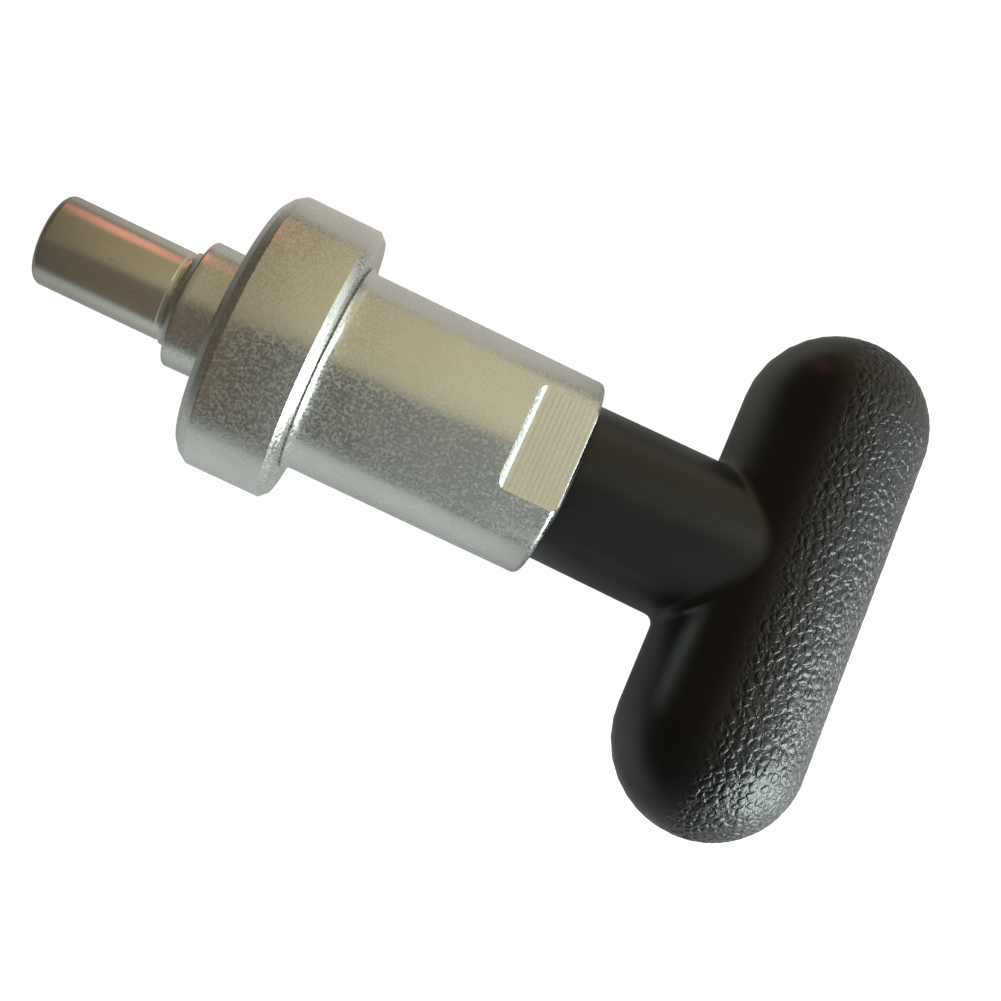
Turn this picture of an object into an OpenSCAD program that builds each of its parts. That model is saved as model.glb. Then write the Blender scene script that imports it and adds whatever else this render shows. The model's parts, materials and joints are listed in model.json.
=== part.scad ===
// Quick release pin: a spring-loaded locking pin in a turned steel housing,
// pulled back by a moulded T-handle. Dimensions in millimetres.
// The pin's axis is X. +X is the way the handle is pulled, and the handle's
// bar lies along Y at rest. The origin is on the axis, in the flange's
// seating face, where the pilot neck starts.

/* [Locking pin] */
// diameter of the locking pin
pin_d = 12; // [10:0.1:14]
// how far the pin's tip stands in front of the seating face
pin_reach = 25; // [18:0.1:32]
// rounding at the rim of the pin's tip
tip_round = 0.9; // [0.3:0.1:2]
// diameter of the collar that the spring pushes on
collar_d = 16.6; // [15:0.1:16.6]
// thickness of that collar
collar_t = 3; // [2:0.1:5]
// diameter of the pull rod behind the collar
rod_d = 9; // [7:0.1:10]
// diameter of the rod's threaded end, over the thread
rod_thread_d = 8; // [6:0.1:8]
// how far the pin is pulled back
travel = 17; // [10:0.5:18]

/* [Mounting flange] */
// diameter of the flange
flange_d = 37; // [30:0.1:44]
// thickness of the flange
flange_t = 12.5; // [8:0.1:16]
// height of the sloped front edge, across the axis
front_edge_r = 1.8; // [0.5:0.05:2.5]
// length of the sloped front edge, along the axis
front_edge_x = 1.95; // [0.5:0.05:3]
// break of the rear edge
rear_edge = 0.85; // [0.1:0.05:1]
// diameter of the pilot neck
neck_d = 17; // [15:0.1:18]
// length of the pilot neck without its lip
neck_len = 6.3; // [4:0.1:9]
// radius of the hollow lip between the neck and the pin
lip_round = 1.4; // [0.4:0.1:1.6]
// rounding of the neck's front corner
neck_round = 0.6; // [0.2:0.1:0.7]
// depth of the groove round the neck
neck_groove = 0.4; // [0.1:0.05:0.6]
// diameter of the screwed socket behind the guide
socket_d = 22; // [20:0.1:23]
// depth of that socket
socket_depth = 9.5; // [6:0.1:9.5]

/* [Housing sleeve] */
// diameter of the sleeve
body_d = 27; // [24:0.1:30]
// length of the sleeve behind the flange
body_len = 33.1; // [26:0.1:36]
// rounding of the sleeve's rear edge
body_round = 0.8; // [0.2:0.1:1.2]
// break of the sleeve's front edge, which makes the seam
seam = 0.3; // [0.1:0.05:0.6]
// radius of the hollow flare behind that edge
front_flare = 1.6; // [0.4:0.1:2]
// diameter of the spring chamber
chamber_d = 17.2; // [17.2:0.1:17.6]
// thickness of the rear wall that guides the rod
rear_wall = 4; // [3:0.1:6]
// distance across the two wrench flats
flat_af = 23; // [20.9:0.1:24]
// length of the wrench flats
flat_len = 8.2; // [4:0.1:12]
// radius of the run-out at the front end of each flat
flat_runout = 1.2; // [0.5:0.1:2]

/* [Spring] */
// wire diameter
wire_d = 1.4; // [1:0.1:1.6]
// mean coil diameter
coil_d = 14.4; // [13.5:0.1:14.6]
// number of coils, with the two closed end coils
coils = 8.5; // [6:0.5:9]

/* [T-handle] */
// diameter of the stem where it meets the sleeve
stem_front_d = 21.6; // [18:0.1:22.5]
// diameter of the stem at the bar's axis
stem_rear_d = 22.5; // [18:0.1:23]
// distance from the seating face to the bar's axis
bar_x = 76.8; // [68:0.1:84]
// diameter of the bar
bar_d = 25; // [21:0.1:26]
// full length of the bar with its round ends
bar_len = 70.5; // [56:0.5:80]
// diameter of the threaded insert
insert_d = 13; // [11:0.1:14]
// length of the threaded insert
insert_len = 17; // [10:0.1:18]

/* [Hidden] */
$fn = 96;
fit = 0.05;                       // radial clearance of the guided pin and rod
pin_r = pin_d / 2;
guide_r = pin_r + fit;
lip_r = pin_r + 0.3;              // the lip's thin front edge
lip_x = -neck_len - lip_round;    // the lip's front end
socket_x = flange_t - socket_depth;
body_end = flange_t + body_len;
wall_x = body_end - rear_wall;
rod_r = rod_d / 2;
collar_x = socket_x + 0.3;
spring_x0 = collar_x + collar_t + 0.1;
spring_x1 = wall_x - 0.1;
stem_x = body_end + 0.1;
insert_x = stem_x + 0.5;
rod_end = insert_x + insert_len + 1.5;

// points of an arc in an (axial, radial) profile, by centre, radius and angles
function arc(cx, cr, r, a0, a1, n) =
    [for (i = [0 : n]) let (a = a0 + (a1 - a0) * i / n)
        [cx + r * cos(a), cr + r * sin(a)]];

// turns an (axial, radial) profile round the X axis
module turned(profile) {
    rotate([0, 90, 0])
        rotate_extrude()
            polygon([for (p = profile) [p[1], p[0]]]);
}

module rod_x(x0, x1, d) {
    translate([x0, 0, 0]) rotate([0, 90, 0]) cylinder(d = d, h = x1 - x0);
}

// flange and grooved pilot neck, turned in one piece, with the pin's guide
// bore and the socket that the sleeve screws into
module mounting_flange() {
    fr = flange_d / 2;
    nr = neck_d / 2;
    color([0.60, 0.59, 0.55])
        turned(concat(
            [[lip_x, guide_r]],
            arc(lip_x, lip_r + lip_round, lip_round, -90, 0, 6),
            [[-neck_len, nr - neck_round]],
            arc(-neck_len + neck_round, nr - neck_round, neck_round, 180, 90, 4),
            [[-neck_len + 1.6, nr], [-neck_len + 2.1, nr - neck_groove],
             [-2.6, nr - neck_groove], [-2.2, nr],
             [0, nr], [0, fr - front_edge_r],
             [front_edge_x * 0.42, fr - front_edge_r * 0.42],
             [front_edge_x, fr], [flange_t - rear_edge, fr],
             [flange_t, fr - rear_edge], [flange_t, socket_d / 2 + 0.4],
             [flange_t - 0.4, socket_d / 2], [socket_x, socket_d / 2],
             [socket_x, guide_r]]));
}

// cutter for one wrench flat, with a rounded run-out at its front end
module flat_cut() {
    x0 = body_end - flat_len;
    h = flat_af / 2;
    rotate([90, 0, 0])
        linear_extrude(height = body_d + 2, center = true)
            polygon(concat(
                arc(x0 + flat_runout, h + flat_runout, flat_runout, 180, 270, 8),
                [[body_end + 1, h], [body_end + 1, body_d / 2 + 1],
                 [x0, body_d / 2 + 1]]));
}

// sleeve: screwed spigot in front, spring chamber inside, rear wall with the
// rod's guide hole, and two wrench flats at the rear
module housing_sleeve() {
    br = body_d / 2;
    sr = socket_d / 2 - fit;
    rise = front_flare * (1 - cos(45));
    color([0.60, 0.59, 0.55])
        difference() {
            turned(concat(
                [[socket_x + 0.2, chamber_d / 2], [socket_x + 0.2, sr - 0.8],
                 [socket_x + 1.0, sr], [flange_t, sr], [flange_t, br + rise - seam]],
                arc(flange_t + seam + front_flare * sin(45), br + front_flare,
                    front_flare, 225, 270, 5),
                arc(body_end - body_round, br - body_round, body_round, 90, 0, 5),
                [[body_end, rod_r + fit + 0.4], [body_end - 0.4, rod_r + fit],
                 [wall_x, rod_r + fit], [wall_x, chamber_d / 2]]));
            flat_cut();
            mirror([0, 0, 1]) flat_cut();
        }
}

// locking pin, spring collar and pull rod, turned in one piece
module locking_pin() {
    cr = collar_d / 2;
    tr = rod_thread_d / 2 - 0.02;
    color([0.56, 0.54, 0.48])
        turned(concat(
            [[-pin_reach, 0]],
            arc(-pin_reach + tip_round, pin_r - tip_round, tip_round, 180, 90, 6),
            [[lip_x - 0.75, pin_r], [lip_x - 0.55, pin_r - 0.25],
             [lip_x - 0.15, pin_r - 0.25], [lip_x + 0.05, pin_r],
             [collar_x, pin_r], [collar_x, cr - 0.4], [collar_x + 0.4, cr],
             [collar_x + collar_t, cr], [collar_x + collar_t, rod_r],
             [insert_x - 0.1, rod_r], [insert_x - 0.1, tr],
             [rod_end - 0.8, tr], [rod_end, tr - 0.8], [rod_end, 0]]));
}

// compression spring with closed ends, swept along its helix
module compression_spring() {
    per_turn = 18;
    sides = 8;
    wr = wire_d / 2;
    steps = round(coils * per_turn);
    length = spring_x1 - spring_x0 - wire_d;
    open_turns = coils - 2;
    pitch = (length - 2 * wire_d) / open_turns;
    function along(t) =
        t < 1 ? t * wire_d :
        t > coils - 1 ? length - (coils - t) * wire_d :
        wire_d + (t - 1) * pitch;
    pts = [for (i = [0 : steps]) let (t = coils * i / steps, a = 360 * t)
        for (k = [0 : sides - 1]) let (b = 360 * k / sides)
            [spring_x0 + wr + along(t) + wr * sin(b),
             (coil_d / 2 + wr * cos(b)) * cos(a),
             (coil_d / 2 + wr * cos(b)) * sin(a)]];
    faces = concat(
        [[for (k = [0 : sides - 1]) k]],
        [for (i = [0 : steps - 1]) for (k = [0 : sides - 1])
            let (a = i * sides + k, b = i * sides + (k + 1) % sides)
            [a, a + sides, b]],
        [for (i = [0 : steps - 1]) for (k = [0 : sides - 1])
            let (a = i * sides + k, b = i * sides + (k + 1) % sides)
            [b, a + sides, b + sides]],
        [[for (k = [sides - 1 : -1 : 0]) steps * sides + k]]);
    color([0.45, 0.45, 0.46])
        polyhedron(points = pts, faces = faces, convexity = 8);
}

// outline of the threaded insert, with two grooves that hold it in the plastic
function insert_profile(bore) = let (r = insert_d / 2, x = insert_x, l = insert_len)
    [[x, bore], [x, r], [x + l * 0.28, r], [x + l * 0.28, r - 0.7],
     [x + l * 0.40, r - 0.7], [x + l * 0.40, r], [x + l * 0.60, r],
     [x + l * 0.60, r - 0.7], [x + l * 0.72, r - 0.7], [x + l * 0.72, r],
     [x + l, r], [x + l, bore]];

module handle_insert() {
    color([0.72, 0.58, 0.30])
        turned(insert_profile(rod_thread_d / 2));
}

// T-handle: round stem and round-ended bar, moulded round the insert
module t_handle() {
    half = bar_len / 2 - bar_d / 2;
    color([0.05, 0.05, 0.05])
        difference() {
            union() {
                translate([stem_x, 0, 0]) rotate([0, 90, 0])
                    cylinder(d1 = stem_front_d, d2 = stem_rear_d, h = bar_x - stem_x);
                translate([bar_x, 0, 0]) rotate([90, 0, 0])
                    cylinder(d = bar_d, h = 2 * half, center = true);
                for (s = [-1, 1])
                    translate([bar_x, s * half, 0]) sphere(d = bar_d);
            }
            turned(insert_profile(0));
            rod_x(stem_x - 1, insert_x + 0.01, insert_d);
            rod_x(insert_x + 1, rod_end + 0.5, rod_thread_d + 0.6);
        }
}

mounting_flange();
housing_sleeve();
locking_pin();
compression_spring();
t_handle();
handle_insert();
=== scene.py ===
import json
import math

import bmesh
import bpy
import numpy as np
from mathutils import Matrix, Vector, noise

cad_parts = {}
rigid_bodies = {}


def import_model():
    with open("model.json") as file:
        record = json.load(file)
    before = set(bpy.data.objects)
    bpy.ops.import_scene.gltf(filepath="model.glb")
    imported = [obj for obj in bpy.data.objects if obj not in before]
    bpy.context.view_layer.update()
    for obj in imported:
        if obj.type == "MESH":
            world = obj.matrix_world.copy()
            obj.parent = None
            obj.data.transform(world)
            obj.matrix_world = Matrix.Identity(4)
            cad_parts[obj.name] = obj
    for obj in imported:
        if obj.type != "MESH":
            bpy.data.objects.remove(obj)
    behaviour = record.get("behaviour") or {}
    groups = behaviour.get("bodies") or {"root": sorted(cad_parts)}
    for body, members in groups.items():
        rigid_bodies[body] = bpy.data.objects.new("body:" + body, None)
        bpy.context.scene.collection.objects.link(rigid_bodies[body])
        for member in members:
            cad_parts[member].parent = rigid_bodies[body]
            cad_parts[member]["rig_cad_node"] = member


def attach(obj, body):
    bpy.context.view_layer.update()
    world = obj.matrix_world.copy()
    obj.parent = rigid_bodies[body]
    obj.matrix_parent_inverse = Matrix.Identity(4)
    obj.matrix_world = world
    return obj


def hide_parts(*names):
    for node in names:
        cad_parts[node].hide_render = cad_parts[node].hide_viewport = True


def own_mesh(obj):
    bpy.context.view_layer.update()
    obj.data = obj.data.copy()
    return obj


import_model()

for o in list(bpy.data.objects):
    if o.name in ("Cube", "Light", "Camera") and "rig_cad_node" not in o:
        bpy.data.objects.remove(o)
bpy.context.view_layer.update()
scene = bpy.context.scene

# ---------------------------------------------------------------- dimensions
# millimetres, in the frame of the part: the axis is X, the seating face is x = 0
PIN_R, PIN_REACH, TIP_ROUND = 6.0, 25.0, 0.9
COLLAR_R, COLLAR_T, ROD_R, THREAD_R = 8.3, 3.0, 4.5, 4.0
FLANGE_R, FLANGE_T = 18.5, 12.5
FRONT_R, FRONT_X, REAR_EDGE = 1.8, 1.95, 0.85
NECK_R, NECK_LEN, LIP_ROUND, NECK_ROUND, NECK_GROOVE = 8.5, 6.3, 1.4, 0.6, 0.4
SOCKET_R, SOCKET_DEPTH = 11.0, 9.5
BODY_R, BODY_LEN, BODY_ROUND, SEAM, FLARE = 13.5, 33.1, 0.8, 0.3, 1.6
CHAMBER_R, REAR_WALL = 8.6, 4.0
FLAT_H, FLAT_LEN, FLAT_RUNOUT = 11.5, 8.2, 1.2
WIRE_R, COIL_R, COILS = 0.7, 7.2, 8.5
STEM_R0, STEM_R1 = 10.8, 11.25
BAR_X, BAR_R, BAR_LEN = 76.8, 12.5, 70.5
INSERT_R, INSERT_LEN = 6.5, 17.0
GUIDE_R = PIN_R + 0.05
LIP_R = PIN_R + 0.3
LIP_X = -NECK_LEN - LIP_ROUND
SOCKET_X = FLANGE_T - SOCKET_DEPTH
BODY_END = FLANGE_T + BODY_LEN
WALL_X = BODY_END - REAR_WALL
COLLAR_X = SOCKET_X + 0.3
SPRING_X0 = COLLAR_X + COLLAR_T + 0.1
SPRING_X1 = WALL_X - 0.1
STEM_X = BODY_END + 0.1
INSERT_X = STEM_X + 0.5
ROD_END = INSERT_X + INSERT_LEN + 1.5
MM = 0.001


# ---------------------------------------------------------------- camera
cam_data = bpy.data.cameras.new("camera")
cam_data.lens = 46.03
cam_data.sensor_width = 36.0
cam_data.clip_start = 0.005
cam_data.clip_end = 20.0
cam = bpy.data.objects.new("camera", cam_data)
scene.collection.objects.link(cam)
cx = Vector((0.90117, 0.40275, 0.16027)).normalized()
cz = Vector((-0.0762, -0.2168, 0.97324)).normalized()
cy = cz.cross(cx).normalized()
cx = cy.cross(cz).normalized()
rot = Matrix((cx, cy, cz)).transposed()
cam.matrix_world = Matrix.Translation(Vector((27.257, -41.456, 159.683)) * MM) @ rot.to_4x4()
scene.camera = cam


# ---------------------------------------------------------------- node helpers
def new_material(name):
    mat = bpy.data.materials.new(name)
    mat.use_nodes = True
    nt = mat.node_tree
    nt.nodes.clear()
    out = nt.nodes.new("ShaderNodeOutputMaterial")
    bsdf = nt.nodes.new("ShaderNodeBsdfPrincipled")
    nt.links.new(bsdf.outputs["BSDF"], out.inputs["Surface"])
    coord = nt.nodes.new("ShaderNodeTexCoord").outputs["Object"]
    return mat, nt, bsdf, coord


def node(nt, kind, **values):
    n = nt.nodes.new(kind)
    for k, v in values.items():
        setattr(n, k, v)
    return n


def mapped(nt, coord, scale):
    m = nt.nodes.new("ShaderNodeMapping")
    m.inputs["Scale"].default_value = scale
    nt.links.new(coord, m.inputs["Vector"])
    return m.outputs["Vector"]


def noise_tex(nt, vec, scale, detail=2.0, rough=0.5, distortion=0.0):
    n = nt.nodes.new("ShaderNodeTexNoise")
    n.inputs["Scale"].default_value = scale
    n.inputs["Detail"].default_value = detail
    n.inputs["Roughness"].default_value = rough
    n.inputs["Distortion"].default_value = distortion
    nt.links.new(vec, n.inputs["Vector"])
    return n.outputs["Fac"]


def ranged(nt, value, a, b, c, d, smooth=False):
    n = nt.nodes.new("ShaderNodeMapRange")
    n.interpolation_type = "SMOOTHSTEP" if smooth else "LINEAR"
    n.inputs["From Min"].default_value = a
    n.inputs["From Max"].default_value = b
    n.inputs["To Min"].default_value = c
    n.inputs["To Max"].default_value = d
    nt.links.new(value, n.inputs["Value"])
    return n.outputs["Result"]


def maths(nt, op, a, b=None):
    n = nt.nodes.new("ShaderNodeMath")
    n.operation = op
    for i, v in enumerate((a, b)):
        if v is None:
            continue
        if isinstance(v, (int, float)):
            n.inputs[i].default_value = v
        else:
            nt.links.new(v, n.inputs[i])
    return n.outputs["Value"]


def mixed(nt, fac, a, b):
    n = nt.nodes.new("ShaderNodeMix")
    n.data_type = "RGBA"
    nt.links.new(fac, n.inputs["Factor"])
    for s, v in ((6, a), (7, b)):
        if isinstance(v, tuple):
            n.inputs[s].default_value = (*v, 1.0)
        else:
            nt.links.new(v, n.inputs[s])
    return n.outputs[2]


def bump(nt, height, distance, strength, normal=None):
    n = nt.nodes.new("ShaderNodeBump")
    n.inputs["Distance"].default_value = distance
    n.inputs["Strength"].default_value = strength
    nt.links.new(height, n.inputs["Height"])
    if normal is not None:
        nt.links.new(normal, n.inputs["Normal"])
    return n.outputs["Normal"]


def zinc_steel():
    """Turned steel with a thin bright zinc plating: faint turning lines and a fine crystal speckle."""
    mat, nt, bsdf, co = new_material("zinc_steel")
    cloud = noise_tex(nt, co, 160.0, 3.0, 0.6)
    speck = noise_tex(nt, co, 2600.0, 3.0, 0.65)
    grain = noise_tex(nt, co, 5200.0, 2.0, 0.6)
    turned = noise_tex(nt, mapped(nt, co, (9000.0, 60.0, 60.0)), 1.0, 2.0, 0.5)
    base = mixed(nt, ranged(nt, cloud, 0.35, 0.65, 0.0, 1.0), (0.50, 0.50, 0.47), (0.56, 0.56, 0.53))
    clump = noise_tex(nt, co, 2700.0, 3.0, 0.62)
    flecks = ranged(nt, clump, 0.34, 0.73, 0.0, 1.0, True)
    bright = mixed(nt, ranged(nt, speck, 0.55, 0.72, 0.0, 0.6, True), base, (0.63, 0.65, 0.63))
    nt.links.new(mixed(nt, flecks, bright, (0.57, 0.575, 0.55)), bsdf.inputs["Base Color"])
    bsdf.inputs["Metallic"].default_value = 1.0
    rough = maths(nt, "ADD", ranged(nt, cloud, 0.3, 0.7, 0.13, 0.17), ranged(nt, flecks, 0.0, 1.0, 0.0, 0.31))
    nt.links.new(rough, bsdf.inputs["Roughness"])
    n0 = bump(nt, clump, 0.00004, 0.20)
    n1 = bump(nt, speck, 0.00003, 0.15, n0)
    n2 = bump(nt, grain, 0.00002, 0.12, n1)
    n3 = bump(nt, turned, 0.000012, 0.16, n2)
    nt.links.new(n3, bsdf.inputs["Normal"])
    return mat


def pin_steel():
    """Ground and slightly oiled steel of the locking pin."""
    mat, nt, bsdf, co = new_material("pin_steel")
    cloud = noise_tex(nt, mapped(nt, co, (90.0, 220.0, 220.0)), 1.0, 3.0, 0.6)
    lines = noise_tex(nt, mapped(nt, co, (7000.0, 80.0, 80.0)), 1.0, 2.0, 0.55)
    stain = noise_tex(nt, mapped(nt, co, (420.0, 900.0, 900.0)), 1.0, 4.0, 0.7)
    base = mixed(nt, ranged(nt, cloud, 0.35, 0.65, 0.0, 1.0), (0.53, 0.51, 0.45), (0.59, 0.57, 0.51))
    spots = ranged(nt, stain, 0.66, 0.74, 0.0, 0.55, True)
    nt.links.new(mixed(nt, spots, base, (0.16, 0.14, 0.11)), bsdf.inputs["Base Color"])
    bsdf.inputs["Metallic"].default_value = 1.0
    rough = maths(nt, "ADD", ranged(nt, cloud, 0.3, 0.7, 0.19, 0.25), ranged(nt, lines, 0.3, 0.7, 0.0, 0.05))
    nt.links.new(rough, bsdf.inputs["Roughness"])
    nt.links.new(bump(nt, lines, 0.00001, 0.18, bump(nt, stain, 0.00002, 0.12)), bsdf.inputs["Normal"])
    return mat


def spring_steel():
    mat, nt, bsdf, co = new_material("spring_steel")
    cloud = noise_tex(nt, co, 700.0, 3.0, 0.6)
    fine = noise_tex(nt, co, 5000.0, 2.0, 0.5)
    nt.links.new(mixed(nt, ranged(nt, cloud, 0.35, 0.65, 0.0, 1.0), (0.30, 0.30, 0.31), (0.42, 0.42, 0.43)), bsdf.inputs["Base Color"])
    bsdf.inputs["Metallic"].default_value = 1.0
    nt.links.new(ranged(nt, cloud, 0.3, 0.7, 0.24, 0.36), bsdf.inputs["Roughness"])
    nt.links.new(bump(nt, fine, 0.00002, 0.25), bsdf.inputs["Normal"])
    return mat


def brass():
    mat, nt, bsdf, co = new_material("brass")
    cloud = noise_tex(nt, co, 500.0, 3.0, 0.6)
    lines = noise_tex(nt, mapped(nt, co, (6000.0, 120.0, 120.0)), 1.0, 2.0, 0.5)
    nt.links.new(mixed(nt, ranged(nt, cloud, 0.35, 0.65, 0.0, 1.0), (0.64, 0.47, 0.20), (0.74, 0.57, 0.28)), bsdf.inputs["Base Color"])
    bsdf.inputs["Metallic"].default_value = 1.0
    nt.links.new(ranged(nt, cloud, 0.3, 0.7, 0.22, 0.32), bsdf.inputs["Roughness"])
    nt.links.new(bump(nt, lines, 0.000015, 0.25), bsdf.inputs["Normal"])
    return mat


def leather(nt, co):
    """Height of the moulded leather grain, 1 on top of a pebble. The mesh and the material share it."""
    def vector_maths(op, *args):
        n = nt.nodes.new("ShaderNodeVectorMath")
        n.operation = op
        for i, v in enumerate(args):
            if isinstance(v, tuple):
                n.inputs[i].default_value = v
            else:
                nt.links.new(v, n.inputs[i])
        return n.outputs["Vector"]

    def voronoi(vec, scale):
        n = nt.nodes.new("ShaderNodeTexVoronoi")
        n.feature = "DISTANCE_TO_EDGE"
        n.inputs["Scale"].default_value = scale
        nt.links.new(vec, n.inputs["Vector"])
        return n.outputs["Distance"]

    def wander(scale, detail):
        n = nt.nodes.new("ShaderNodeTexNoise")
        n.inputs["Scale"].default_value = scale
        n.inputs["Detail"].default_value = detail
        nt.links.new(co, n.inputs["Vector"])
        return n

    wob = wander(1150.0, 2.0)
    warped = vector_maths("MULTIPLY_ADD", wob.outputs["Color"], (0.0010, 0.0010, 0.0010), co)
    warped = vector_maths("MULTIPLY", warped, (1.0, 0.80, 1.0))
    pebble = ranged(nt, voronoi(warped, 940.0), 0.0, 0.28, 0.0, 1.0, True)
    crease = ranged(nt, voronoi(warped, 1900.0), 0.0, 0.22, 0.0, 1.0, True)
    rise = wander(420.0, 1.0).outputs["Fac"]
    body = maths(nt, "MULTIPLY", pebble, ranged(nt, rise, 0.3, 0.7, 0.62, 0.86))
    return maths(nt, "ADD", body, maths(nt, "MULTIPLY", crease, 0.14))


def black_plastic():
    """Moulded black thermoplastic: satin on the stem, fine skin on the grained half of the bar."""
    mat, nt, bsdf, co = new_material("black_plastic")
    xyz = nt.nodes.new("ShaderNodeSeparateXYZ")
    nt.links.new(co, xyz.inputs["Vector"])
    grained = ranged(nt, xyz.outputs["X"], (BAR_X - 4.5) * MM, (BAR_X - 1.5) * MM, 0.0, 1.0, True)
    cloud = noise_tex(nt, co, 120.0, 3.0, 0.55)
    fine = noise_tex(nt, co, 3200.0, 3.0, 0.6)
    wrinkle = leather(nt, co)
    nt.links.new(mixed(nt, ranged(nt, cloud, 0.3, 0.7, 0.0, 1.0), (0.0042, 0.0040, 0.0044), (0.0058, 0.0052, 0.0052)), bsdf.inputs["Base Color"])
    bsdf.inputs["IOR"].default_value = 1.40
    smooth_rough = ranged(nt, cloud, 0.3, 0.7, 0.27, 0.34)
    grain_rough = ranged(nt, fine, 0.3, 0.7, 0.26, 0.36)
    r = nt.nodes.new("ShaderNodeMix")
    r.data_type = "FLOAT"
    nt.links.new(grained, r.inputs[0])
    nt.links.new(smooth_rough, r.inputs[2])
    nt.links.new(grain_rough, r.inputs[3])
    nt.links.new(r.outputs[0], bsdf.inputs["Roughness"])
    skin = maths(nt, "MULTIPLY", wrinkle, grained)
    n1 = bump(nt, skin, 0.00010, 1.0)
    n2 = bump(nt, fine, 0.00001, 0.2, n1)
    nt.links.new(n2, bsdf.inputs["Normal"])
    return mat


ZINC = zinc_steel()
PIN = pin_steel()
SPRING = spring_steel()
BRASS = brass()
PLASTIC = black_plastic()


# ---------------------------------------------------------------- mesh helpers
def add_piece(name, verts, faces, mat, sharp):
    me = bpy.data.meshes.new(name)
    me.from_pydata((np.asarray(verts, float) * MM).tolist(), [], faces)
    bm = bmesh.new()
    bm.from_mesh(me)
    bmesh.ops.recalc_face_normals(bm, faces=bm.faces[:])
    bm.to_mesh(me)
    bm.free()
    me.shade_smooth()
    me.set_sharp_from_angle(angle=math.radians(sharp))
    me.materials.append(mat)
    me.update()
    ob = bpy.data.objects.new(name, me)
    scene.collection.objects.link(ob)
    return ob


def rounded(points, closed, seg=4):
    """A profile of (x, r, corner radius) with its corners turned into arcs."""
    out, n = [], len(points)
    for i, (x, r, rad) in enumerate(points):
        if rad <= 0 or (not closed and i in (0, n - 1)):
            out.append((x, r))
            continue
        p = np.array((x, r))
        a = np.array(points[i - 1][:2]) - p
        b = np.array(points[(i + 1) % n][:2]) - p
        la, lb = np.linalg.norm(a), np.linalg.norm(b)
        u, v = a / la, b / lb
        ang = math.acos(max(-1.0, min(1.0, float(u @ v))))
        t = min(rad / math.tan(ang / 2), 0.49 * la, 0.49 * lb)
        rad = t * math.tan(ang / 2)
        mid = (u + v) / np.linalg.norm(u + v)
        c = p + mid * rad / math.sin(ang / 2)
        s, e = p + u * t - c, p + v * t - c
        a0, a1 = math.atan2(s[1], s[0]), math.atan2(e[1], e[0])
        d = (a1 - a0 + math.pi) % (2 * math.pi) - math.pi
        for k in range(seg + 1):
            w = a0 + d * k / seg
            out.append((c[0] + rad * math.cos(w), c[1] + rad * math.sin(w)))
    return out


def arc(ax, ar, rad, a0, a1, n):
    return [(ax + rad * math.cos(math.radians(a0 + (a1 - a0) * i / n)),
             ar + rad * math.sin(math.radians(a0 + (a1 - a0) * i / n))) for i in range(n + 1)]


def stitched(rings, closed):
    """Faces between rings of vertex numbers; a ring of one vertex is a pole."""
    faces = []
    pairs = list(zip(rings, rings[1:] + rings[:1])) if closed else list(zip(rings, rings[1:]))
    for a, b in pairs:
        n = max(len(a), len(b))
        for j in range(n):
            k = (j + 1) % n
            if len(a) == 1:
                faces.append((a[0], b[j], b[k]))
            elif len(b) == 1:
                faces.append((a[j], b[0], a[k]))
            else:
                faces.append((a[j], b[j], b[k], a[k]))
    return faces


def lathe(profile, n, closed, shape=None):
    verts, rings = [], []
    for x, r in profile:
        if r < 1e-6:
            rings.append([len(verts)])
            verts.append((x, 0.0, 0.0))
            continue
        start = len(verts)
        for j in range(n):
            a = 2 * math.pi * j / n
            q = shape(x, r, j) if shape else r
            verts.append((x, q * math.cos(a), q * math.sin(a)))
        rings.append(list(range(start, start + n)))
    return verts, stitched(rings, closed)


# ---------------------------------------------------------------- flange and pilot neck
flange_profile = (
    [(LIP_X, GUIDE_R + 0.03), (LIP_X, LIP_R)]
    + arc(LIP_X, LIP_R + LIP_ROUND, LIP_ROUND, -84, -6, 10)
    + rounded([
        (-NECK_LEN, LIP_R + LIP_ROUND + 0.02, 0.0),
        (-NECK_LEN, NECK_R, NECK_ROUND),
        (-NECK_LEN + 1.2, NECK_R, 2.0),
        (-3.2, NECK_R - NECK_GROOVE * 0.05, 2.0),
        (-1.4, NECK_R - NECK_GROOVE * 0.05, 0.3),
        (-1.0, NECK_R, 0.2),
        (0.0, NECK_R, 0.15),
        (0.0, FLANGE_R - FRONT_R, 0.25),
        (FRONT_X * 0.42, FLANGE_R - FRONT_R * 0.42, 0.5),
        (FRONT_X, FLANGE_R, 0.5),
        (FLANGE_T - REAR_EDGE, FLANGE_R, 0.12),
        (FLANGE_T, FLANGE_R - REAR_EDGE, 0.12),
        (FLANGE_T, SOCKET_R + 0.4, 0.0),
        (FLANGE_T - 0.4, SOCKET_R, 0.0),
        (SOCKET_X, SOCKET_R, 0.2),
        (SOCKET_X, GUIDE_R, 0.0)], False, 5)
)
flange = add_piece("mounting_flange_turned", *lathe(flange_profile, 256, True), ZINC, 34)
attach(flange, "housing")
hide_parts("mounting_flange")


# ---------------------------------------------------------------- housing sleeve with milled flats
FLAT_X0 = BODY_END - FLAT_LEN


def flat_height(x):
    """Height of the milled flat above the axis at x, or None in front of it."""
    if x < FLAT_X0:
        return None
    d = FLAT_X0 + FLAT_RUNOUT - x
    h = FLAT_H
    if d > 0:
        h += FLAT_RUNOUT - math.sqrt(max(0.0, FLAT_RUNOUT ** 2 - d * d))
    end = x - (BODY_END - 0.12)
    return h - max(0.0, end)


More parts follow.
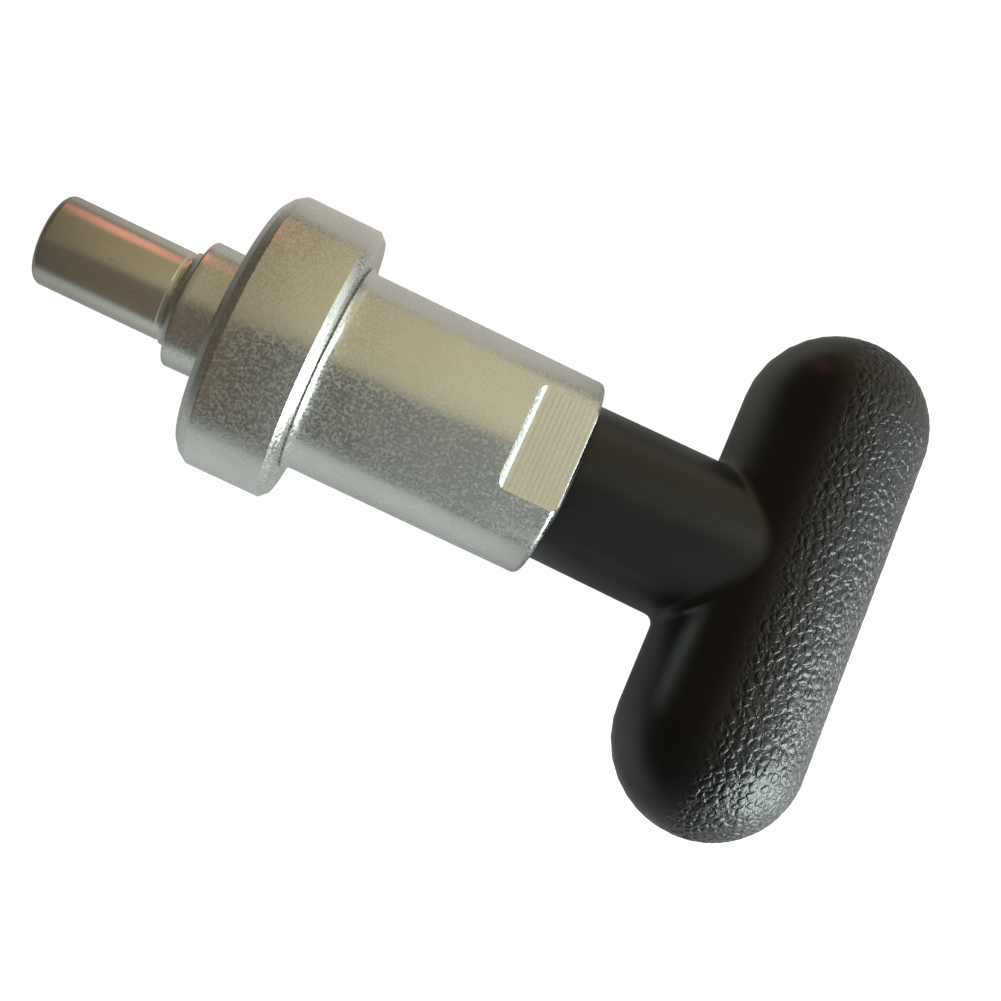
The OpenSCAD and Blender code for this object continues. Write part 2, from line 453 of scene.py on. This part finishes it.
def mill_marks(x, y):
    """Depth of the cutter marks that cross the flat."""
    d = x - (FLAT_X0 + 1.0)
    if d < 0 or x > BODY_END - 0.1:
        return 0.0
    wob = 0.10 * noise.noise(Vector((x * 0.9, y * 0.07, 3.1)))
    ph = 2 * math.pi * (x + wob) / 0.66
    fade = min(1.0, d / 0.4)
    depth = 0.014 * (0.5 + 0.5 * math.cos(ph)) + 0.006 * (0.5 + 0.5 * math.cos(ph * 2.37 + 1.0))
    return fade * depth * (0.75 + 0.5 * noise.noise(Vector((x * 1.7, y * 0.3, 8.0))))


K1, K2 = 22, 34
REF_B = math.acos((FLAT_H + FLAT_RUNOUT) / BODY_R)


def sleeve_ring(x, r, flat):
    b = math.acos(flat / r) if flat is not None and flat < r else REF_B
    a = [b * k / K1 for k in range(K1)] + [b + (math.pi / 2 - b) * k / K2 for k in range(K2 + 1)]
    full = a + [math.pi - t for t in a[::-1][1:]]
    full = full + [math.pi + t for t in a[1:]] + [2 * math.pi - t for t in a[::-1][1:-1]]
    pts = []
    for t in full:
        y, z = r * math.sin(t), r * math.cos(t)
        if flat is not None and abs(z) > flat + 1e-9:
            y *= flat / abs(z)
            s = 1.0 if z > 0 else -1.0
            z = s * (flat - mill_marks(x, y + 40.0 * s))
        pts.append((x, y, z))
    return pts


stations = [(SOCKET_X + 0.2, CHAMBER_R), (SOCKET_X + 0.2, SOCKET_R - 0.85), (SOCKET_X + 1.0, SOCKET_R - 0.05)]
for k in range(1, 8):  # shallow thread of the spigot
    x = SOCKET_X + 1.0 + k
    stations += [(x - 0.3, SOCKET_R - 0.05), (x, SOCKET_R - 0.35), (x + 0.3, SOCKET_R - 0.05)]
stations += [(FLANGE_T, SOCKET_R - 0.05)]
RISE = FLARE * (1 - math.cos(math.pi / 4))
stations += [(FLANGE_T, BODY_R + RISE - SEAM)]
stations += arc(FLANGE_T + SEAM + FLARE * math.sin(math.pi / 4), BODY_R + FLARE, FLARE, 225, 270, 10)
stations += [(FLANGE_T + 3, BODY_R)]
stations += [(x, BODY_R) for x in np.linspace(FLANGE_T + 5, FLAT_X0 - 1.0, 10)]
stations += [(FLAT_X0 - 0.1, BODY_R), (FLAT_X0 - 0.004, BODY_R)]
stations += [(FLAT_X0 + FLAT_RUNOUT * (1 - math.cos(w)), BODY_R) for w in np.linspace(0.0, math.pi / 2, 13)]
n_mill = 92
stations += [(x, BODY_R) for x in np.linspace(FLAT_X0 + FLAT_RUNOUT, BODY_END - BODY_ROUND, n_mill)[1:-1]]
stations += arc(BODY_END - BODY_ROUND, BODY_R - BODY_ROUND, BODY_ROUND, 90, 0, 12)
stations += [(BODY_END, 11.2), (BODY_END, 8.0), (BODY_END, ROD_R + 0.45), (BODY_END - 0.4, ROD_R + 0.05), (WALL_X, ROD_R + 0.05), (WALL_X, CHAMBER_R)]
verts, rings = [], []
for i, (x, r) in enumerate(stations):
    flat = flat_height(x) if r > 11.3 and x >= FLAT_X0 - 1e-9 else None
    pts = sleeve_ring(float(x), float(r), flat)
    rings.append(list(range(len(verts), len(verts) + len(pts))))
    verts += pts
sleeve = add_piece("housing_sleeve_milled", verts, stitched(rings, True), ZINC, 30)
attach(sleeve, "housing")
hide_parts("housing_sleeve")


# ---------------------------------------------------------------- locking pin, collar and pull rod
pin_profile = (
    [(-PIN_REACH, 0.0), (-PIN_REACH, 2.4)]
    + rounded([
        (-PIN_REACH, 0.0, 0.0),
        (-PIN_REACH, PIN_R, TIP_ROUND),
        (LIP_X - 0.75, PIN_R, 0.1),
        (LIP_X - 0.55, PIN_R - 0.07, 0.1),
        (LIP_X - 0.15, PIN_R - 0.07, 0.1),
        (LIP_X + 0.05, PIN_R, 0.1),
        (COLLAR_X, PIN_R, 0.3),
        (COLLAR_X, COLLAR_R - 0.4, 0.1),
        (COLLAR_X + 0.4, COLLAR_R, 0.1),
        (COLLAR_X + COLLAR_T, COLLAR_R, 0.2),
        (COLLAR_X + COLLAR_T, ROD_R, 0.3),
        (INSERT_X - 0.1, ROD_R, 0.3),
        (INSERT_X - 0.1, THREAD_R - 0.05, 0.0)], False, 6)[1:]
)
x = INSERT_X + 0.3
while x < ROD_END - 1.4:
    pin_profile += [(x, THREAD_R - 0.05), (x + 0.1, THREAD_R - 0.05), (x + 0.575, THREAD_R - 0.65), (x + 0.675, THREAD_R - 0.65), (x + 1.15, THREAD_R - 0.05)]
    x += 1.25
pin_profile += [(ROD_END - 0.8, THREAD_R - 0.05), (ROD_END, THREAD_R - 0.8), (ROD_END, 0.0)]
pin = add_piece("locking_pin_ground", *lathe(pin_profile, 192, False), PIN, 34)
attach(pin, "plunger")
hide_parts("locking_pin")


# ---------------------------------------------------------------- compression spring
def spring_mesh():
    per_turn, sides = 44, 12
    steps = int(COILS * per_turn)
    length = SPRING_X1 - SPRING_X0 - 2 * WIRE_R
    wire = 2 * WIRE_R
    pitch = (length - 2 * wire) / (COILS - 2)

    def along(t):
        if t < 1:
            return t * wire
        if t > COILS - 1:
            return length - (COILS - t) * wire
        return wire + (t - 1) * pitch

    vs, rs = [], []
    for i in range(steps + 1):
        t = COILS * i / steps
        a = 2 * math.pi * t
        cxx = 0.5 * (along(max(0.0, t - 0.06)) + along(min(COILS, t + 0.06)))
        cxx = along(t) if t < 0.1 or t > COILS - 0.1 else cxx
        ring = []
        for k in range(sides):
            b = 2 * math.pi * k / sides
            ring.append(len(vs))
            q = COIL_R + WIRE_R * math.cos(b)
            vs.append((SPRING_X0 + WIRE_R + cxx + WIRE_R * math.sin(b), q * math.cos(a), q * math.sin(a)))
        rs.append(ring)
    fs = stitched(rs, False)
    fs.append(tuple(rs[0]))
    fs.append(tuple(rs[-1][::-1]))
    return vs, fs


spring = add_piece("compression_spring_wound", *spring_mesh(), SPRING, 50)
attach(spring, "spring")
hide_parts("compression_spring")
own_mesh(spring)


# ---------------------------------------------------------------- threaded insert
def knurl(x, r, j):
    """Teeth round the insert's outside, which the plastic grips."""
    return r - 0.16 * (1 - math.cos(2 * math.pi * j / 4)) if r > INSERT_R - 0.01 else r


def insert_profile(bore):
    r, x, l = INSERT_R, INSERT_X, INSERT_LEN
    return [(x, bore), (x, r - 0.5), (x + 0.4, r), (x + l * 0.28, r), (x + l * 0.28, r - 0.75), (x + l * 0.40, r - 0.75),
            (x + l * 0.40, r), (x + l * 0.60, r), (x + l * 0.60, r - 0.75), (x + l * 0.72, r - 0.75), (x + l * 0.72, r),
            (x + l - 0.4, r), (x + l, r - 0.5), (x + l, bore)]


bore = insert_profile(THREAD_R + 0.4)
bore[0] = (INSERT_X + 0.45, THREAD_R + 0.02)
bore.insert(1, (INSERT_X, THREAD_R + 0.5))
bore[-1] = (INSERT_X + INSERT_LEN, THREAD_R + 0.02)
insert = add_piece("handle_insert_knurled", *lathe(bore, 160, True, knurl), BRASS, 34)
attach(insert, "plunger")
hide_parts("handle_insert")


# ---------------------------------------------------------------- T-handle
HALF = BAR_LEN / 2 - BAR_R
ROWS, COLS = 360, 201                 # grained side of the bar: pole to pole, and round the bar
EDGE = math.radians(111.0)            # the grained side ends here, seen from +X


def bar_point(s, theta):
    """Point of the bar at the distance s from its +Y pole, theta round the bar from +X."""
    quarter = BAR_R * math.pi / 2
    if s < quarter:
        w = s / BAR_R
        y, q = HALF + BAR_R * math.cos(w), BAR_R * math.sin(w)
    elif s > quarter + 2 * HALF:
        w = (s - quarter - 2 * HALF) / BAR_R
        y, q = -HALF - BAR_R * math.sin(w), BAR_R * math.cos(w)
    else:
        y, q = HALF - (s - quarter), BAR_R
    return BAR_X + q * math.cos(theta), y, q * math.sin(theta)


def stem_radius(x):
    return STEM_R0 + (STEM_R1 - STEM_R0) * (x - STEM_X) / (BAR_X - STEM_X)


def handle_field(p):
    """Signed distance to the bar and stem, blended with a fillet."""
    y = p[:, 1] - np.clip(p[:, 1], -HALF, HALF)
    a = np.sqrt((p[:, 0] - BAR_X) ** 2 + y * y + p[:, 2] ** 2) - BAR_R
    slope = (STEM_R1 - STEM_R0) / (BAR_X - STEM_X)
    b = (np.hypot(p[:, 1], p[:, 2]) - (STEM_R0 + slope * (p[:, 0] - STEM_X))) / math.sqrt(1 + slope * slope)
    # generous fillet beside the stem, small on top of it, where it runs out on the bar
    k = 0.32 + 1.0 * p[:, 1] ** 2 / np.maximum(p[:, 1] ** 2 + p[:, 2] ** 2, 1e-6)
    return np.maximum(k, np.minimum(a, b)) - np.hypot(np.maximum(k - a, 0), np.maximum(k - b, 0))


def settle(p, rounds=14):
    """Moves points onto the handle's surface."""
    h = 1e-3
    for _ in range(rounds):
        f = handle_field(p)
        g = np.stack([(handle_field(p + d) - handle_field(p - d)) / (2 * h) for d in np.eye(3) * h], 1)
        g /= np.maximum(np.linalg.norm(g, axis=1, keepdims=True), 1e-9)
        p = p - 0.8 * f[:, None] * g
    return p


def handle_mesh():
    total = BAR_R * math.pi + 2 * HALF
    V, F = [], []

    def put(p):
        V.append(tuple(float(c) for c in p))
        return len(V) - 1

    # grained side
    top = put((BAR_X, HALF + BAR_R, 0.0))
    bottom = put((BAR_X, -HALF - BAR_R, 0.0))
    grid = []
    for i in range(1, ROWS):
        s = total * i / ROWS
        row = []
        for j in range(COLS + 1):
            th = -EDGE + 2 * EDGE * j / COLS
            row.append(put(bar_point(s, th)))
        grid.append(row)
    for a, b in zip(grid, grid[1:]):
        for j in range(COLS):
            F.append((a[j], a[j + 1], b[j + 1], b[j]))
    for j in range(COLS):
        F.append((top, grid[0][j + 1], grid[0][j]))
        F.append((bottom, grid[-1][j], grid[-1][j + 1]))
    # its rim, once round: +Y pole, the upper edge, -Y pole, the lower edge
    rim = [top] + [r[COLS] for r in grid] + [bottom] + [r[0] for r in grid[::-1]]
    n = len(rim) // 2
    rim_xyz = np.array([V[i] for i in rim])[::2]

    # smooth side of the bar and the stem, in columns round the X axis
    phi = 2 * math.pi * np.arange(n) / n
    ya, za = np.cos(phi), np.sin(phi)
    x_in = np.full(n, BAR_X - 8.0)
    for _ in range(30):
        r = stem_radius(x_in)
        x_in = BAR_X - np.sqrt(np.maximum(BAR_R ** 2 - (r * za) ** 2, 0.01))
    A = np.stack([x_in, stem_radius(x_in) * ya, stem_radius(x_in) * za], 1)
    n_bar, n_stem = 24, 24
    layers = []
    for k in range(1, n_bar):                      # from the rim to the stem
        t = (1 - k / n_bar) ** 1.35
        layers.append(settle(A * (1 - t) + rim_xyz * t))
    x0 = STEM_X + 0.55
    for k in range(0, n_stem):                     # along the stem to its front end
        t = (k / n_stem) ** 1.25
        x = x_in * (1 - t) + x0 * t
        layers.append(settle(np.stack([x, stem_radius(x) * ya, stem_radius(x) * za], 1)))
    for w in np.linspace(0, math.pi / 2, 6):       # rounded front edge of the stem
        r = STEM_R0 - 0.5 + 0.5 * math.cos(w)
        x = STEM_X + 0.5 - 0.5 * math.sin(w)
        layers.append(np.stack([np.full(n, x), r * ya, r * za], 1))
    rings = [[put(p) for p in layer] for layer in layers]
    first = rings[0]
    for j in range(n):
        k = (j + 1) % n
        b0, b1, b2 = rim[2 * j], rim[2 * j + 1], rim[(2 * j + 2) % (2 * n)]
        F.append((first[j], b0, b1))
        F.append((first[j], b1, first[k]))
        F.append((first[k], b1, b2))
    F.extend(stitched(rings, False))

    # front face and the pocket round the insert, in fewer columns
    m = n // 4
    outer = rings[-1]
    pocket = [(STEM_X, INSERT_R + 0.35), (STEM_X + 0.3, INSERT_R + 0.02), (INSERT_X + 0.4, INSERT_R + 0.02),
              (INSERT_X + INSERT_LEN * 0.28, INSERT_R + 0.02), (INSERT_X + INSERT_LEN * 0.28 + 0.02, INSERT_R - 0.7),
              (INSERT_X + INSERT_LEN * 0.40 - 0.02, INSERT_R - 0.7), (INSERT_X + INSERT_LEN * 0.40, INSERT_R + 0.02),
              (INSERT_X + INSERT_LEN * 0.60, INSERT_R + 0.02), (INSERT_X + INSERT_LEN * 0.60 + 0.02, INSERT_R - 0.7),
              (INSERT_X + INSERT_LEN * 0.72 - 0.02, INSERT_R - 0.7), (INSERT_X + INSERT_LEN * 0.72, INSERT_R + 0.02),
              (INSERT_X + INSERT_LEN + 0.02, INSERT_R + 0.02), (INSERT_X + INSERT_LEN + 0.02, THREAD_R + 0.3),
              (ROD_END + 0.5, THREAD_R + 0.3), (ROD_END + 0.5, 0.0)]
    rings = []
    for x, r in pocket:
        if r < 1e-6:
            rings.append([put((x, 0.0, 0.0))])
        else:
            rings.append([put((x, r * math.cos(2 * math.pi * j / m), r * math.sin(2 * math.pi * j / m))) for j in range(m)])
    for j in range(m):
        k = (j + 1) % m
        o = [outer[(4 * j + q) % n] for q in range(5)]
        a, b = rings[0][j], rings[0][k]
        F.extend([(o[0], o[1], a), (o[1], o[2], a), (o[2], b, a), (o[2], o[3], b), (o[3], o[4], b)])
    F.extend(stitched(rings, False))
    return V, F


def press_grain(ob, depth):
    """Presses the leather grain into the outer side of the bar, as real relief."""
    tree = bpy.data.node_groups.new("grain", "GeometryNodeTree")
    tree.interface.new_socket("Geometry", in_out="INPUT", socket_type="NodeSocketGeometry")
    tree.interface.new_socket("Geometry", in_out="OUTPUT", socket_type="NodeSocketGeometry")
    start, end = tree.nodes.new("NodeGroupInput"), tree.nodes.new("NodeGroupOutput")
    place = tree.nodes.new("GeometryNodeInputPosition").outputs[0]
    normal = tree.nodes.new("GeometryNodeInputNormal").outputs[0]
    xyz = tree.nodes.new("ShaderNodeSeparateXYZ")
    tree.links.new(place, xyz.inputs[0])
    grained = ranged(tree, xyz.outputs["X"], (BAR_X - 4.5) * MM, (BAR_X - 1.5) * MM, 0.0, 1.0, True)
    low = maths(tree, "SUBTRACT", leather(tree, place), 1.0)
    push = maths(tree, "MULTIPLY", maths(tree, "MULTIPLY", low, grained), depth)
    move = tree.nodes.new("ShaderNodeVectorMath")
    move.operation = "SCALE"
    tree.links.new(normal, move.inputs[0])
    tree.links.new(push, move.inputs["Scale"])
    setpos = tree.nodes.new("GeometryNodeSetPosition")
    tree.links.new(start.outputs[0], setpos.inputs["Geometry"])
    tree.links.new(move.outputs[0], setpos.inputs["Offset"])
    tree.links.new(setpos.outputs[0], end.inputs[0])
    ob.modifiers.new("grain", "NODES").node_group = tree
    shape = bpy.data.meshes.new_from_object(ob.evaluated_get(bpy.context.evaluated_depsgraph_get()))
    ob.modifiers.clear()
    ob.data = shape


handle = add_piece("t_handle_moulded", *handle_mesh(), PLASTIC, 60)
press_grain(handle, 0.09 * MM)
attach(handle, "plunger")
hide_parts("t_handle")


# ---------------------------------------------------------------- floor, world and lights
FLOOR_Z = -FLANGE_R - 0.03


def make_floor():
    me = bpy.data.meshes.new("floor")
    s = 2.5
    me.from_pydata([(-s, -s, FLOOR_Z * MM), (s, -s, FLOOR_Z * MM), (s, s, FLOOR_Z * MM), (-s, s, FLOOR_Z * MM)], [], [(0, 1, 2, 3)])
    me.update()
    ob = bpy.data.objects.new("floor", me)
    scene.collection.objects.link(ob)
    mat, nt, bsdf, co = new_material("floor_paper")
    soft = noise_tex(nt, co, 60.0, 2.0, 0.5)
    nt.links.new(mixed(nt, soft, (0.15, 0.15, 0.15), (0.17, 0.17, 0.17)), bsdf.inputs["Base Color"])
    bsdf.inputs["Roughness"].default_value = 0.9
    bsdf.inputs["Specular IOR Level"].default_value = 0.0
    cam_ray = nt.nodes.new("ShaderNodeLightPath").outputs["Is Camera Ray"]
    # as the part mirrors it, the floor glows with painted light and shade: a sheet that ends at -Y, painted shade under
    # the part and beside the handle, darker towards -X, and a painted pool of light at +X; cooler towards -Y, warmer
    # towards +Y
    xyz = nt.nodes.new("ShaderNodeSeparateXYZ")
    nt.links.new(co, xyz.inputs["Vector"])
    px, py = xyz.outputs["X"], xyz.outputs["Y"]
    tint = mixed(nt, ranged(nt, py, -0.02, 0.02, 0.0, 1.0), (0.95, 1.0, 1.0), (1.0, 0.95, 0.88))
    nt.links.new(mixed(nt, cam_ray, tint, (1.0, 1.0, 1.0)), bsdf.inputs["Emission Color"])
    sheet = ranged(nt, py, -0.120, -0.080, 0.16, 0.55, True)
    # painted shade: the mirrored floor is darkened under the part
    painted_shade_under_part = ranged(nt, maths(nt, "ABSOLUTE", py), 0.014, 0.036, 0.6, 1.0, True)
    # painted shade: the mirrored floor is darkened between the housing and the bar
    painted_shade_beside_handle = ranged(nt, px, 0.040, 0.060, 1.0, 0.35, True)
    # painted light: a bright pool on the mirrored floor at +X
    painted_light_pool = maths(nt, "MULTIPLY", ranged(nt, px, 0.08, 0.17, 0.0, 1.7, True), ranged(nt, py, -0.01, 0.06, 1.0, 0.20, True))
    # darker towards -X
    ahead = ranged(nt, px, -0.075, -0.005, 0.25, 1.0, True)
    paper_and_painted_shade = maths(nt, "MULTIPLY", maths(nt, "MULTIPLY", sheet, painted_shade_under_part), maths(nt, "MULTIPLY", painted_shade_beside_handle, ahead))
    lit = maths(nt, "ADD", paper_and_painted_shade, painted_light_pool)
    mirrored = maths(nt, "MULTIPLY", lit, maths(nt, "SUBTRACT", 1.0, cam_ray))
    nt.links.new(maths(nt, "ADD", mirrored, maths(nt, "MULTIPLY", cam_ray, 0.95)), bsdf.inputs["Emission Strength"])
    me.materials.append(mat)


make_floor()


def make_world():
    world = bpy.data.worlds.new("studio")
    scene.world = world
    world.use_nodes = True
    nt = world.node_tree
    nt.nodes.clear()
    out = nt.nodes.new("ShaderNodeOutputWorld")
    co = nt.nodes.new("ShaderNodeTexCoord").outputs["Generated"]
    dot = nt.nodes.new("ShaderNodeVectorMath")
    dot.operation = "DOT_PRODUCT"
    dot.inputs[1].default_value = (-0.643, 0.765, 0.034)
    nt.links.new(co, dot.inputs[0])
    side = ranged(nt, dot.outputs["Value"], -0.04, 0.04, 0.0, 1.0, True)
    xyz = nt.nodes.new("ShaderNodeSeparateXYZ")
    nt.links.new(co, xyz.inputs["Vector"])
    along = ranged(nt, xyz.outputs["X"], -0.5, 0.5, 0.0, 1.0)

    def ramp(stops):
        r = nt.nodes.new("ShaderNodeValToRGB")
        e = r.color_ramp.elements
        while len(e) < len(stops):
            e.new(0.5)
        for el, (x, c) in zip(e, stops):
            el.position = x + 0.5
            el.color = (*c, 1.0)
        nt.links.new(along, r.inputs["Fac"])
        return r.outputs["Color"]

    warm = ramp([(-0.45, (0.15, 0.12, 0.085)), (-0.25, (0.53, 0.45, 0.29)), (-0.19, (0.45, 0.37, 0.235)), (-0.11, (0.62, 0.52, 0.335)),
                 (0.0, (0.80, 0.75, 0.50)), (0.10, (1.02, 0.94, 0.67)), (0.30, (0.80, 0.72, 0.54))])
    shade = ramp([(-0.45, (0.09, 0.08, 0.065)), (-0.25, (0.26, 0.205, 0.145)), (-0.17, (0.18, 0.14, 0.105)), (-0.10, (0.115, 0.118, 0.11)),
                  (0.0, (0.33, 0.35, 0.325)), (0.10, (0.42, 0.44, 0.41)), (0.30, (0.34, 0.36, 0.35))])
    room = mixed(nt, side, shade, warm)
    bg_room = nt.nodes.new("ShaderNodeBackground")
    nt.links.new(room, bg_room.inputs["Color"])
    bg_white = nt.nodes.new("ShaderNodeBackground")
    bg_white.inputs["Color"].default_value = (1.0, 1.0, 1.0, 1.0)
    path = nt.nodes.new("ShaderNodeLightPath")
    mix = nt.nodes.new("ShaderNodeMixShader")
    nt.links.new(path.outputs["Is Camera Ray"], mix.inputs[0])
    nt.links.new(bg_room.outputs[0], mix.inputs[1])
    nt.links.new(bg_white.outputs[0], mix.inputs[2])
    nt.links.new(mix.outputs[0], out.inputs["Surface"])


make_world()


def area_light(name, at, target, size, power, color, glossy=True, diffuse=1.0):
    data = bpy.data.lights.new(name, "AREA")
    data.shape = "RECTANGLE"
    data.size, data.size_y = size
    data.energy = power
    data.color = color
    data.diffuse_factor = diffuse
    ob = bpy.data.objects.new(name, data)
    ob.location = at
    ob.rotation_mode = "QUATERNION"
    ob.rotation_quaternion = (Vector(target) - Vector(at)).to_track_quat("-Z", "Y")
    ob.visible_camera = False
    ob.visible_glossy = glossy
    scene.collection.objects.link(ob)
    return ob


area_light("right_window", (0.43, -0.15, 0.11), (0.075, -0.01, 0.0), (0.40, 0.26), 5.8, (0.86, 1.0, 0.965))
area_light("right_panel", (0.42, 0.23, 0.10), (0.0, 0.23, 0.10), (0.34, 0.24), 0.27, (0.88, 1.0, 0.965))
area_light("upper_panel", (0.31, 0.125, 0.30), (0.04, 0.0, 0.0), (0.26, 0.20), 0.35, (0.98, 1.0, 0.97))
area_light("low_window", (0.36, -0.32, 0.10), (0.075, -0.02, 0.0), (0.20, 0.20), 0.2, (0.86, 1.0, 0.965))
area_light("red_card", (-0.088, 0.235, 0.062), (-0.016, 0.0, 0.0), (0.055, 0.11), 0.019, (1.0, 0.25, 0.25))

scene.view_settings.view_transform = "Standard"
scene.view_settings.look = "None"
